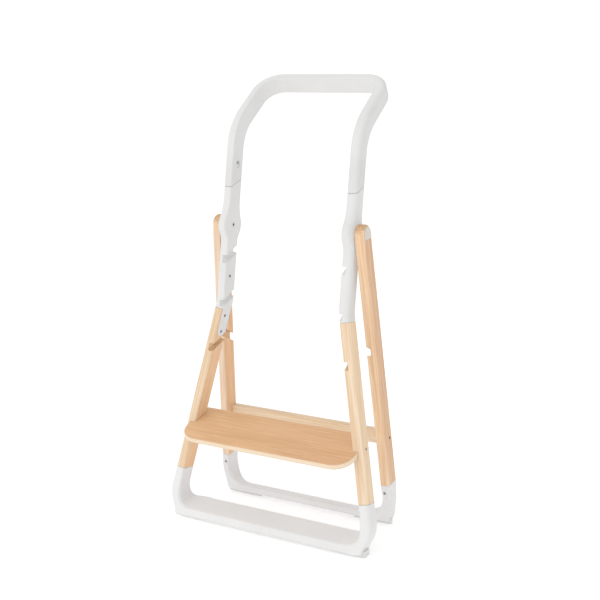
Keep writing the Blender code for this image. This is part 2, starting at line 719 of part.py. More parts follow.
# Section stations from the right arm down and in to the floor bar. Columns: inner
# X and Z, outer X and Z (on the frame's front plane), inner depth, outer depth,
# back width / front width, blend from arm (0) to floor bar (1), shift to the back.
FRONT_LOOP = [
    (0.254173, 0.076230, 0.282051, 0.078626, 0.045194, 0.044649, 0.90, 0.05, -0.000218),
    (0.254826, 0.066429, 0.283140, 0.066429, 0.046827, 0.044649, 0.90, 0.10, -0.000436),
    (0.254608, 0.056628, 0.282269, 0.054450, 0.050094, 0.044649, 0.90, 0.20, -0.000871),
    (0.253519, 0.046827, 0.279655, 0.043016, 0.055539, 0.044649, 0.92, 0.32, -0.001416),
    (0.250688, 0.038660, 0.275517, 0.031581, 0.062618, 0.044649, 0.94, 0.46, -0.002178),
    (0.246332, 0.032017, 0.269745, 0.021780, 0.072419, 0.044649, 0.96, 0.62, -0.003049),
    (0.240669, 0.027225, 0.265498, 0.012524, 0.082764, 0.045738, 0.98, 0.80, -0.003920),
    (0.233046, 0.023849, 0.264191, 0.004138, 0.089298, 0.047916, 1.0, 0.95, -0.004683),
    (0.223790, 0.022216, 0.247203, FRONT_UNDERSIDE, 0.091258, 0.071874, 1.0, 1.0, -0.004901),
    (0.213989, 0.021780, 0.224334, FRONT_UNDERSIDE, 0.090605, 0.089298, 1.0, 1.0, -0.004901),
    (0.201465, 0.021562, 0.202554, FRONT_UNDERSIDE, 0.089298, 0.089298, 1.0, 1.0, -0.004901),
    (0.087120, 0.021562, 0.087120, FRONT_UNDERSIDE, 0.089298, 0.089298, 1.0, 1.0, -0.004901),
]
REAR_LOOP = [
    (0.226294, 0.074052, 0.249599, 0.071874, 0.046283, 0.046283, 0.78, 0.05, 0.0),
    (0.225205, 0.062073, 0.248728, 0.057717, 0.045194, 0.046827, 0.82, 0.15, 0.000545),
    (0.222701, 0.051183, 0.246114, 0.044649, 0.042471, 0.046827, 0.86, 0.30, 0.001089),
    (0.218345, 0.041927, 0.243065, 0.032670, 0.038115, 0.047916, 0.90, 0.48, 0.001634),
    (0.211811, 0.033977, 0.240451, 0.021236, 0.033759, 0.048461, 0.94, 0.66, 0.002178),
    (0.203099, 0.028096, 0.238927, 0.011979, 0.028859, 0.046283, 0.97, 0.84, 0.002178),
    (0.192753, 0.024285, 0.237402, 0.004901, 0.025592, 0.035937, 1.0, 0.97, 0.002178),
    (0.181863, 0.022651, 0.206910, REAR_UNDERSIDE, 0.024503, 0.024503, 1.0, 1.0, 0.002178),
    (0.170973, 0.022325, 0.174240, REAR_UNDERSIDE, 0.023958, 0.023958, 1.0, 1.0, 0.002178),
    (0.076230, 0.022325, 0.076230, REAR_UNDERSIDE, 0.023958, 0.023958, 1.0, 1.0, 0.002178),
]


def arm_stations(heights, ref_x, ref_z, splay, front_width, back_width, depth):
    """Stations square to a leg whose inner line passes through ref_x, ref_z."""
    angle = math.atan(splay)
    stations = []
    for z in heights:
        x = ref_x + splay * (ref_z - z)
        stations.append((x, z, x + front_width * math.cos(angle),
                         z + front_width * math.sin(angle), depth, depth,
                         back_width / front_width, 0.0, 0.0))
    return stations


def loop_ring(station, plane_y, slope, backward, inset):
    """One section of a floor loop on the right half."""
    x_in, z_in, x_out, z_out, depth_in, depth_out, taper, blend, shift = station
    inner = Vector((x_in, plane_y + slope * z_in, z_in))
    outer = Vector((x_out, plane_y + slope * z_out, z_out))
    width = (outer - inner).length
    across = (outer - inner) / width
    back = (backward * (1 - blend) + Y * blend).normalized()
    radii = [a + (b - a) * blend for a, b in zip(LOOP_ARM_RADII, LOOP_BAR_RADII)]
    radii[0] += 0.01089 * blend * (1 - blend)
    corners = [(inset, inset), (width - inset, inset),
               (width * taper - inset, depth_out - inset), (inset, depth_in - inset)]
    return [inner + across * u + back * (v + shift)
            for u, v in rounded(corners, radii, [1, 5, 3, 2])]


def build_loop(name, stations, plane_y, slope, backward, origin=ORIGIN):
    right = [loop_ring(station, plane_y, slope, backward, CHAMFER if k == 0 else 0.0)
             for k, station in enumerate(stations)]
    return add_part(name, lofted(right + mirrored(right)),
                    material(name + "_white", **MOULDED), origin, sharp_angle=28)


def build_front_base(front_legs):
    top = LEG_END_Z - GAP / 2 / math.cos(FRONT_SPREAD)
    arms = arm_stations((top, top - CHAMFER, 0.100188, 0.08712), POST_HALF, KNEE_Z,
                        FRONT_SPLAY, BAR_WIDTH_FRONT, BAR_WIDTH_BACK, BAR_DEPTH)
    base = build_loop("front_base", arms + FRONT_LOOP, FRONT_Y, FRONT_SLOPE, FRONT_BACKWARD)
    sockets, holes = bmesh.new(), bmesh.new()
    for label, side in SIDES:
        end_tenon(sockets, front_leg_point, side, FRONT_TENON_DEPTHS, FRONT_END_DOWN,
                  FRONT_TENON_LENGTH, GAP)
        start = front_leg_point(side, 0.009801, BAR_DEPTH, front_leg_down(LEG_END_Z) + 0.016335)
        add_screw(label + "_front_base_screw", holes, start, -FRONT_BACKWARD, 0.024)
    subtract(base, "cut_front_base_sockets", sockets)
    cutter = add_cutter("cut_front_base_screws", holes)
    for ob in (base, *front_legs.values()):
        boolean(ob, cutter)
    return base


def build_rear_base(rear_legs):
    top = REAR_END_Z - GAP / 2
    arms = arm_stations((top, top - CHAMFER, 0.089298), REAR_HALF, PIVOT_Z,
                        REAR_SPLAY, REAR_WIDTH_FRONT, REAR_WIDTH_BACK, REAR_DEPTH)
    base = build_loop("rear_base", arms + REAR_LOOP, REAR_Y, -REAR_SLOPE, REAR_BACKWARD, PIVOT)
    sockets, holes = bmesh.new(), bmesh.new()
    for label, side in SIDES:
        end_tenon(sockets, rear_leg_point, side, REAR_TENON_DEPTHS, REAR_END_DOWN,
                  REAR_TENON_LENGTH, GAP)
        start = rear_leg_point(side, 0.009257, REAR_FACE, rear_leg_down(0.083309))
        add_screw(label + "_rear_base_screw", holes, start, REAR_BACKWARD, 0.024, PIVOT)
    subtract(base, "cut_rear_base_sockets", sockets)
    cutter = add_cutter("cut_rear_base_screws", holes)
    for ob in (base, *rear_legs.values()):
        boolean(ob, cutter)
    return base


# ---------------------------------------------------------------- rear legs
REAR_TOP_STEPS = 16             # segments of the half-round top
REAR_GROOVE = (0.442134, 0.463914)   # lower and upper Z at the front face
SEAT_RADIUS = 0.01579           # seat of the washer
NUT_ROOM_RADIUS, NUT_ROOM_DEEP = 0.0078, 0.0070


def weight_rear_edges(bm, rows):
    """Bevel weights: small at the lower end and inside, large along the outer face."""
    layer = bm.edges.layers.float.new("bevel_weight_edge")
    count = len(rows[0])
    back, bottom, front = REAR_TOP_STEPS, REAR_TOP_STEPS + 1, REAR_TOP_STEPS + 2
    for j in range(count):
        k = (j + 1) % count
        inner, outer = (bm.edges.get((row[j], row[k])) for row in rows)
        if j == bottom:
            inner[layer] = outer[layer] = 0.05
            continue
        if j == back:
            toward_back = 1.0
        elif j == front:
            toward_back = 0.0
        else:
            toward_back = (j + 0.5) / REAR_TOP_STEPS
        inner[layer] = 0.24
        outer[layer] = 1.0 + (0.62 - 1.0) * toward_back


def rear_leg_body(side):
    radius = REAR_DEPTH / 2
    outline = []
    for k in range(REAR_TOP_STEPS + 1):
        angle = math.pi - math.pi * k / REAR_TOP_STEPS
        outline.append((radius * math.cos(angle), -radius * math.sin(angle)))
    outline += [(radius, REAR_END_DOWN), (-radius, REAR_END_DOWN)]
    bm = bmesh.new()
    rows = loft(bm, [[rear_leg_point(side, 0.0, depth, down) for depth, down in outline],
                     [rear_leg_point(side, rear_width(depth), depth, down)
                      for depth, down in outline]])
    weight_rear_edges(bm, rows)
    return bm


def build_rear_leg(label, side):
    leg = add_part(label + "_rear_leg", rear_leg_body(side),
                   material(label + "_rear_leg_wood", **WOOD), PIVOT)
    bevel = leg.modifiers.new("edge_rounding", "BEVEL")
    bevel.limit_method = "WEIGHT"
    bevel.width = 0.008712
    bevel.segments = 4
    bevel.use_clamp_overlap = True

    bm = bmesh.new()
    end_tenon(bm, rear_leg_point, side, REAR_TENON_DEPTHS, REAR_END_DOWN, REAR_TENON_LENGTH)
    unite(leg, "add_%s_rear_tenon" % label, bm)
    bottom, top = (rear_leg_down(z) for z in REAR_GROOVE)
    subtract(leg, "cut_%s_rear_groove" % label,
             wood_groove(rear_leg_point, side, REAR_FACE, REAR_DEPTH, top, bottom,
                         math.tan(WOOD_GROOVE_ANGLE + REAR_LEAN)))

    # seat for the washer and pivot bore, then room for the nut, then the cap's seat
    seat, bore = 0.01 + WASHER_SEAT, BOLT_RADIUS + 0.00006
    subtract(leg, "cut_%s_rear_bore" % label, turned_body(
        rear_point(side * (REAR_HALF - 0.01), 0, 0), X * side,
        [(0, SEAT_RADIUS), (seat, SEAT_RADIUS), (seat, bore), (0.05, bore)]))
    subtract(leg, "cut_%s_nut_room" % label, turned_body(
        rear_point(side * (REAR_OUTER + 0.01), 0, 0), X * -side,
        [(0, NUT_ROOM_RADIUS), (0.01 + NUT_ROOM_DEEP, NUT_ROOM_RADIUS)]))
    subtract(leg, "cut_%s_cap_seat" % label, lofted(
        [cap_ring(side, GAP, lift) for lift in (-CAP_THICK - GAP, 0.01)]))
    return leg


# ---------------------------------------------------------------- pivot
CAP_RADIUS = 0.017424
CAP_LOW = -0.01285              # straight lower edge, measured from the pivot
CAP_MID = 0.002178              # centre of the cap behind the pivot
CAP_CORNER = 0.002723
CAP_THICK = 0.0016              # part of the cap let into the leg
WASHER_RADIUS = 0.013613
NUT_RADIUS = 0.0072


def cap_outline(grow):
    """Depth and height of a plate with a round top and a straight lower edge."""
    radius, low, corner = CAP_RADIUS + grow, CAP_LOW - grow, CAP_CORNER + grow

    def corner_arc(centre, first):
        angles = (math.radians(first + 22.5 * k) for k in range(5))
        return [(centre + corner * math.cos(a), low + corner + corner * math.sin(a))
                for a in angles]

    return (corner_arc(CAP_MID + radius - corner, -90)
            + half_circle(CAP_MID, radius, 0.0, 20)
            + corner_arc(CAP_MID - radius + corner, 180))


def cap_ring(side, grow, lift):
    """Cap outline at a distance outside the rear leg's outer face."""
    return [rear_leg_point(side, rear_width(depth) + lift, depth, -up)
            for depth, up in cap_outline(grow)]


def add_collar(name, side, near, far, radius, mat):
    """Flat ring around the bolt between two distances from X = 0."""
    hole = BOLT_RADIUS + GAP
    rings = [circle(PIVOT + X * (side * x), Y, Z, ring_radius, 24)
             for x, ring_radius in ((near, hole), (near, radius), (far, radius), (far, hole))]
    add_part(name, lofted(rings, closed=True), mat, PIVOT)


def build_pivot(label, side):
    """Cap, bolt, washer and nut of one side."""
    cap = [cap_ring(side, grow, lift)
           for grow, lift in ((0.0, -CAP_THICK), (0.0, 0.0001), (-0.0005, 0.0005))]
    add_part(label + "_pivot_cap", lofted(cap), material(label + "_cap_white", **MOULDED), PIVOT)
    bolt = screw_body(front_point(side * POST_HALF, PIVOT_DEPTH, PIVOT_UP), X * side,
                      REAR_OUTER - 0.0028 - POST_HALF, **PIVOT_BOLT)
    add_part(label + "_pivot_bolt", bolt, material(label + "_bolt_steel", **BOLT_STEEL), PIVOT)
    add_collar(label + "_pivot_washer", side, PAD_FACE + 0.0002,
               REAR_HALF + WASHER_SEAT - 0.0002, WASHER_RADIUS,
               material(label + "_washer_white", **WASHER_WHITE))
    add_collar(label + "_pivot_nut", side, REAR_OUTER - 0.0068, REAR_OUTER - 0.0026,
               NUT_RADIUS, material(label + "_nut_steel", **NUT_STEEL))


# ---------------------------------------------------------------- rear crossbar
CROSSBAR_TOP_Z, CROSSBAR_BOTTOM_Z = 0.23664, 0.202336
CROSSBAR_FRONT = REAR_FACE + 0.025918
CROSSBAR_SCREW_Z = 0.219434
CROSSBAR_SCREW_DEPTH = REAR_FACE + 0.03267


def build_crossbar(rear_legs):
    top, bottom = rear_leg_down(CROSSBAR_TOP_Z), rear_leg_down(CROSSBAR_BOTTOM_Z)
    front, back = CROSSBAR_FRONT, REAR_DEPTH / 2
    section = rounded([(front, top), (back, top), (back, bottom), (front, bottom)],
                      [0.0025] * 4, [3] * 4)
    crossbar = add_part("rear_crossbar", lofted([[rear_leg_point(side, -GAP, depth, down)
                                                  for depth, down in section]
                                                 for side in (-1, 1)]),
                        material("crossbar_wood", **WOOD), PIVOT)
    bm = bmesh.new()
    for label, side in SIDES:
        start = rear_leg_point(side, rear_width(CROSSBAR_SCREW_DEPTH), CROSSBAR_SCREW_DEPTH,
                               rear_leg_down(CROSSBAR_SCREW_Z))
        add_screw(label + "_crossbar_screw", bm, start, -outward(rear_leg_point, side), 0.036,
                  PIVOT, overrun=0.01)
    cutter = add_cutter("cut_crossbar_screws", bm)
    for ob in (crossbar, *rear_legs.values()):
        boolean(ob, cutter)


# ---------------------------------------------------------------- foot pads
FOOT_EDGE = 0.0006              # chamfer around the underside
FRONT_FOOT = dict(x_limits=(0.187308, 0.269528), y_limits=(FRONT_Y + 0.008712, -0.008712),
                  top=0.008712, origin=ORIGIN)
REAR_FOOT = dict(x_limits=(0.138303, 0.240669), y_limits=(0.172607, 0.184586),
                 top=0.008168, origin=PIVOT)


def build_foot(name, base, side, x_limits, y_limits, top, origin):
    """Rubber pad let into the underside of a floor loop."""
    def ring(inset, z):
        left, right = sorted(side * x for x in x_limits)
        left, right = left + inset, right - inset
        front, back = y_limits[0] + inset, y_limits[1] - inset
        corners = [(left, front), (right, front), (right, back), (left, back)]
        return [Vector((x, y, z)) for x, y in rounded(corners, [0.003] * 4, [4] * 4)]

    add_part(name, lofted([ring(FOOT_EDGE, -FOOT_DROP), ring(0.0, FOOT_EDGE - FOOT_DROP),
                           ring(0.0, top)]),
             material(name + "_rubber", **RUBBER), origin)
    subtract(base, "cut_" + name, lofted([ring(-GAP, z) for z in (-0.02, top + GAP)]))


# ---------------------------------------------------------------- assembly
def place_on_floor():
    """Put the floor at Z = 0 and the middle of the unmodified meshes' depth at Y = 0."""
    ys = [ob.location.y + vert.co.y for ob in parts.objects for vert in ob.data.vertices]
    middle = 0.5 * (min(ys) + max(ys))
    for ob in list(parts.objects) + list(cutters.objects):
        ob.location.y -= middle
        ob.location.z += FOOT_DROP


# the order of the calls sets the order of the modifiers on shared pieces
handle_screw_cutter = build_handle()
front_legs = {}
for label, side in SIDES:
    tongue_cutter = build_post(label, side, handle_screw_cutter)
    front_legs[label] = build_front_leg(label, side, tongue_cutter)
build_board(front_legs)
front_base = build_front_base(front_legs)

rear_legs = {}
for label, side in SIDES:
    rear_legs[label] = build_rear_leg(label, side)
    build_pivot(label, side)
build_crossbar(rear_legs)
rear_base = build_rear_base(rear_legs)

for label, side in SIDES:
    build_foot("front_%s_foot" % label, front_base, side, **FRONT_FOOT)
    build_foot("rear_%s_foot" % label, rear_base, side, **REAR_FOOT)
place_on_floor()
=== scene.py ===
import json
import math

import bmesh
import bpy
from mathutils import Matrix, Vector


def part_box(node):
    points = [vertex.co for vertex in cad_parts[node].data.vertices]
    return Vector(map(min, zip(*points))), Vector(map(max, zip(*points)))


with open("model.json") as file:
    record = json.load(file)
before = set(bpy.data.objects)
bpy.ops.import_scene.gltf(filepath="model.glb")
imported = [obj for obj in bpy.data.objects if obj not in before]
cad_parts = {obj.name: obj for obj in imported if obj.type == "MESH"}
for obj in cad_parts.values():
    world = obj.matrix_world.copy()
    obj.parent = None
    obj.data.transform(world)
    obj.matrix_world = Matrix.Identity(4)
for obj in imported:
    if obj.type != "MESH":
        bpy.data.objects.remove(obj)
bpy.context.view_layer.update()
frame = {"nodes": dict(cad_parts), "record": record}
nodes = frame["nodes"]

# ---------------------------------------------------------------- dimensions, metres
hinge = frame["record"]["behaviour"]["joints"][0]["pos_m"]
ORIGIN_Y = hinge[1] - 0.0836352      # the part's own Y origin in this frame
LIFT = 0.0060984                     # the part stands this much above its design level

# Leg directions, per metre of drop.
FRONT_SPLAY, FRONT_LEAN = 0.2026, 0.1458     # outwards, forwards
REAR_SPLAY, REAR_LEAN = 0.0592, 0.1354       # outwards, backwards

BOARD_TILT = math.radians(19.0)
BOARD_TOP = (0, ORIGIN_Y - 0.013068, LIFT + 0.2385999)      # a point on the top face
BOARD_THICKNESS = 0.0123057
BOARD_PLIES = 5.0

HANDLE_ARM_SHADE_FADE = (0.925, 0.885)     # heights between which painted shade darkens the handle's arms
HANDLE_END_ZONE = 0.03               # height of the zone holding the arms' lower ends
FLOOR_HALF = 14.0

# ---------------------------------------------------------------- colours
WHITE = (0.802, 0.798, 0.792)
LEG_TONES = {                        # growth-line colours, set apart per leg as painted light and shade; painted shading tint of faces square to X
    "left_front": dict(light=(0.880, 0.704, 0.498), dark=(0.773, 0.544, 0.347),
                       side_shading_tint=(1.090, 0.848, 0.625)),
    "right_front": dict(light=(0.935, 0.760, 0.560), dark=(0.825, 0.595, 0.390),
                        side_shading_tint=(0.99, 0.96, 0.86)),
    "left_rear": dict(light=(0.955, 0.795, 0.630), dark=(0.827, 0.597, 0.415),
                      side_shading_tint=(0.98, 0.762, 0.550)),
    "right_rear": dict(light=(0.980, 0.735, 0.500), dark=(0.815, 0.510, 0.292),
                       side_shading_tint=(0.865, 0.79, 0.745)),
}
METAL_TONES = (                      # name ending, metal colour; the first match counts
    ("handle_screw", (0.50, 0.50, 0.50)),
    ("rear_base_screw", (0.52, 0.52, 0.53)),
    ("_screw", (0.17, 0.17, 0.18)),
    ("_nut", (0.50, 0.50, 0.51)),
    ("_bolt", None),                 # lacquered, see steel()
)


def scaled(colour, factors):
    """The colour times a factor per channel, capped at 1."""
    return tuple(min(1.0, channel * factor) for channel, factor in zip(colour, factors))


# ---------------------------------------------------------------- node helpers
class Graph:
    """The emptied node tree of a material or world, with short ways to add nodes."""

    def __init__(self, owner):
        owner.use_nodes = True
        self.tree = owner.node_tree
        self.tree.nodes.clear()

    def add(self, kind, inputs=None, **settings):
        node = self.tree.nodes.new("ShaderNode" + kind)
        for key, value in settings.items():
            setattr(node, key, value)
        self.fill(node, inputs or {})
        return node

    def fill(self, node, inputs):
        """Link or set each input; None leaves it alone, colours get full alpha."""
        for key, value in inputs.items():
            socket = node.inputs[key]
            if hasattr(value, "is_output"):
                self.tree.links.new(value, socket)
            elif value is not None:
                socket.default_value = (*value, 1) if socket.type == "RGBA" else value

    def math(self, operation, first, second=0.0):
        return self.add("Math", {0: first, 1: second}, operation=operation).outputs[0]

    def vector_math(self, operation, *vectors):
        node = self.add("VectorMath", dict(enumerate(vectors)), operation=operation)
        return node.outputs["Value" if operation in ("DOT_PRODUCT", "LENGTH") else "Vector"]

    def dot(self, first, second):
        return self.vector_math("DOT_PRODUCT", first, second)

    def coords(self, kind="Object"):
        return self.add("TexCoord").outputs[kind]

    def light_path(self, ray):
        return self.add("LightPath").outputs[ray]

    def split(self, vector):
        """The X, Y and Z outputs of a vector."""
        return self.add("SeparateXYZ", {0: vector}).outputs

    def mapping(self, vector, loc=(0, 0, 0), rot=(0, 0, 0), scale=(1, 1, 1)):
        return self.add("Mapping", {0: vector, 1: loc, 2: rot, 3: scale}).outputs[0]

    def stretch(self, vector, z):
        """Scale Z alone; below 1 a texture is drawn out along Z."""
        return self.mapping(vector, scale=(1, 1, z))

    def noise(self, vector, scale, detail=3.0, rough=0.5, distort=0.0):
        return self.add("TexNoise", {"Vector": vector, "Scale": scale, "Detail": detail,
                                     "Roughness": rough, "Distortion": distort}).outputs["Fac"]

    def cells(self, vector, scale):
        """Distance to the nearest of many scattered points."""
        inputs = {"Vector": vector, "Scale": scale}
        return self.add("TexVoronoi", inputs, feature="F1").outputs["Distance"]

    def remap(self, value, span, to=(0.0, 1.0)):
        """Map the span (which may run downwards) onto another, clamped."""
        inputs = dict(enumerate((value, *span, *to)))
        return self.add("MapRange", inputs, clamp=True).outputs[0]

    def mix(self, mask, base, other, share=None, mode="MIX"):
        """Base towards other by the mask, which share weakens if given."""
        if share is not None:
            mask = self.math("MULTIPLY", mask, share)
        return self.add("Mix", {0: mask, 6: base, 7: other},
                        data_type="RGBA", blend_type=mode).outputs[2]

    def tint(self, mask, base, factors):
        return self.mix(mask, base, factors, mode="MULTIPLY")

    def bump(self, height, strength, distance, normal=None):
        return self.add("Bump", {"Strength": strength, "Distance": distance,
                                 "Height": height, "Normal": normal}).outputs[0]

    def rounded_normal(self, radius):
        return self.add("Bevel", {"Radius": radius}, samples=4).outputs[0]

    def edges(self, radius):
        """0 on flat areas, towards 1 on sharp edges; also the rounded normal."""
        rounded = self.rounded_normal(radius)
        agreement = self.dot(rounded, self.add("NewGeometry").outputs["Normal"])
        return self.remap(agreement, span=(0.995, 0.75)), rounded


class Surface(Graph):
    """A new material with one Principled shader."""

    def __init__(self, name):
        self.material = bpy.data.materials.new(name)
        super().__init__(self.material)
        self.bsdf = self.add("BsdfPrincipled")
        self.add("OutputMaterial", {0: self.bsdf.outputs[0]})

    def shade(self, inputs):
        self.fill(self.bsdf, inputs)

    def facing(self, direction, normal):
        """1 where the surface faces along or against the direction."""
        return self.math("ABSOLUTE", self.dot(normal, direction))

    def calmed(self, colour):
        """The colour as seen; mostly grey where light only bounces off it."""
        return self.mix(self.light_path("Is Diffuse Ray"), colour, (0.74, 0.74, 0.74), share=0.65)


def grain_rotation(along, across):
    """Euler that turns object coordinates so that Z runs along the grain."""
    z = Vector(along).normalized()
    x = (Vector(across) - z * Vector(across).dot(z)).normalized()
    y = z.cross(x)
    return Matrix((x, y, z)).to_euler()


# ---------------------------------------------------------------- materials
def seam_shade_mask(g, point, normal):
    """Mask for the painted shade line: 1 close to the seam plane, mirrored in x = 0."""
    x, y, z = g.split(g.coords())
    mirrored = g.add("CombineXYZ", {0: g.math("ABSOLUTE", x), 1: y, 2: z}).outputs[0]
    from_point = g.vector_math("SUBTRACT", mirrored, point)
    distance = g.math("ABSOLUTE", g.dot(from_point, normal))
    return g.remap(distance, span=(0.0013, 0.0005))


def white_plastic(name, seed, tone=WHITE, edge_shade=0.30, top_light_gain=None, groove_painted_light=None,
                  arm_shade_gain=None, seam=None):
    """Satin moulded plastic: fine texture, faint handling marks, painted shade greying the edges.
    """
    g = Surface(name)
    place = g.mapping(g.coords(), loc=(seed, seed * 0.7, seed * 1.3))
    cloud = g.noise(place, scale=9.0)
    scuff = g.noise(g.stretch(place, z=0.25), scale=160.0, detail=4, rough=0.6)
    grain = g.noise(place, scale=1500.0, detail=2)
    peel = g.noise(place, scale=260.0, detail=2, rough=0.4)
    edge, rounded = g.edges(radius=0.0012)

    colour = g.mix(g.remap(cloud, span=(0.35, 0.65)), scaled(tone, (0.965,) * 3), tone)
    colour = g.mix(g.remap(scuff, span=(0.66, 0.78)), colour, (0.70, 0.69, 0.67), share=0.10)
    # painted shade: edges are drawn greyer
    colour = g.mix(edge, colour, (0.48, 0.475, 0.46), share=edge_shade)
    if arm_shade_gain is not None:      # painted shade: the handle's arms are drawn a little darker than its bar
        height = g.split(g.coords())[2]
        colour = g.tint(g.remap(height, span=HANDLE_ARM_SHADE_FADE), colour, (arm_shade_gain,) * 3)
    if seam is not None:          # painted shade: a dark line along the butt joint between two mouldings
        colour = g.mix(seam_shade_mask(g, *seam), colour, (0.40, 0.395, 0.38), share=0.55)
    if top_light_gain is not None:      # painted light: upward faces are drawn a touch lighter
        up = g.dot(g.coords("Normal"), (0, 0, 1))
        colour = g.tint(g.remap(up, span=(0.5, 0.95)), colour, (top_light_gain,) * 3)
    if groove_painted_light is not None:   # painted light: grooves and hollows glow faintly, lifting their shade
        openness = g.add("AmbientOcclusion", {"Distance": 0.012}, samples=6).outputs["AO"]
        g.shade({
            "Emission Color": (1.0, 0.985, 0.965),
            "Emission Strength": g.remap(openness, span=(0.80, 0.35), to=(0.0, groove_painted_light)),
        })

    scuff_rough = g.math("MULTIPLY", g.remap(scuff, span=(0.6, 0.8)), 0.10)
    normal = g.bump(peel, strength=0.05, distance=0.0006, normal=rounded)
    g.shade({
        "Base Color": colour,
        "Roughness": g.math("ADD", g.remap(cloud, span=(0.3, 0.7), to=(0.37, 0.48)),
                            scuff_rough),
        "IOR": 1.46,
        "Normal": g.bump(grain, strength=0.10, distance=0.00012, normal=normal),
    })
    return g.material


def beech(name, along, across, seed, light, dark, side_shading_tint):
    """Clear-lacquered beech: wavy growth lines, short dark flecks, pores along the grain."""
    g = Surface(name)
    turned = g.mapping(g.coords(), rot=grain_rotation(along, across))
    place = g.mapping(turned, loc=(seed * 0.37, seed * 0.61, seed))
    warp = g.noise(g.stretch(place, z=0.35), scale=9.0, detail=2)
    tone = g.noise(g.stretch(place, z=0.045), scale=30.0, detail=4, rough=0.55, distort=0.25)
    lines = g.noise(g.stretch(place, z=0.030), scale=210.0, detail=4, rough=0.62, distort=0.45)
    fine = g.noise(g.stretch(place, z=0.022), scale=520.0, rough=0.6)
    pores = g.noise(g.stretch(place, z=0.06), scale=1500.0, detail=2)
    cells = g.cells(g.stretch(place, z=0.10), scale=480.0)
    fleck = g.math("MULTIPLY", g.remap(cells, span=(0.20, 0.05)),
                   g.remap(warp, span=(0.45, 0.6)))

    # Growth lines, fine streaks and flecks.
    growth = g.math("ADD", g.math("MULTIPLY", g.remap(tone, span=(0.38, 0.62)), 0.45),
                    g.math("MULTIPLY", g.remap(lines, span=(0.42, 0.60)), 0.55))
    colour = g.mix(growth, scaled(dark, (0.975, 0.950, 0.915)),
                   scaled(light, (1.022, 1.035, 1.055)))
    colour = g.mix(g.remap(fine, span=(0.54, 0.72)), colour,
                   scaled(dark, (0.90, 0.82, 0.74)), share=0.50)
    colour = g.mix(fleck, colour, (0.50, 0.29, 0.15), share=0.38)

    # Side faces: painted light and shade, a general lift replaced by the side tint where they are
    # square to across.
    surface_normal = g.coords("Normal")
    side = g.facing(Vector(across).normalized(), surface_normal)
    side_light_lift = (1.05, 1.06, 1.07)
    square_shading_tint = tuple(wanted / lift for wanted, lift in zip(side_shading_tint, side_light_lift))
    colour = g.tint(g.remap(side, span=(0.30, 0.90)), colour, side_light_lift)
    colour = g.tint(g.remap(side, span=(0.945, 0.997)), colour, square_shading_tint)

    # End grain, and painted shade darkening the edges.
    end = g.facing(Vector(along).normalized(), surface_normal)
    rings = g.noise(g.mapping(place, scale=(1, 0.35, 1)), scale=130.0, rough=0.6, distort=0.6)
    end_colour = g.mix(g.remap(rings, span=(0.40, 0.62)),
                       (0.54, 0.300, 0.140), (0.80, 0.52, 0.295))
    colour = g.mix(g.remap(end, span=(0.20, 0.65)), colour, end_colour, share=0.92)
    edge, rounded = g.edges(radius=0.0010)
    colour = g.mix(edge, colour, scaled(dark, (0.72, 0.58, 0.48)), share=0.55)

    warp_rough = g.math("MULTIPLY", g.remap(warp, span=(0.4, 0.7)), 0.05)
    normal = g.bump(lines, strength=0.10, distance=0.0004, normal=rounded)
    g.shade({
        "Base Color": g.calmed(colour),
        "Roughness": g.math("ADD", g.remap(fine, span=(0.3, 0.7), to=(0.41, 0.54)),
                            warp_rough),
        "Coat Weight": 0.12,
        "Coat Roughness": 0.32,
        "Normal": g.bump(pores, strength=0.14, distance=0.00015, normal=normal),
    })
    return g.material


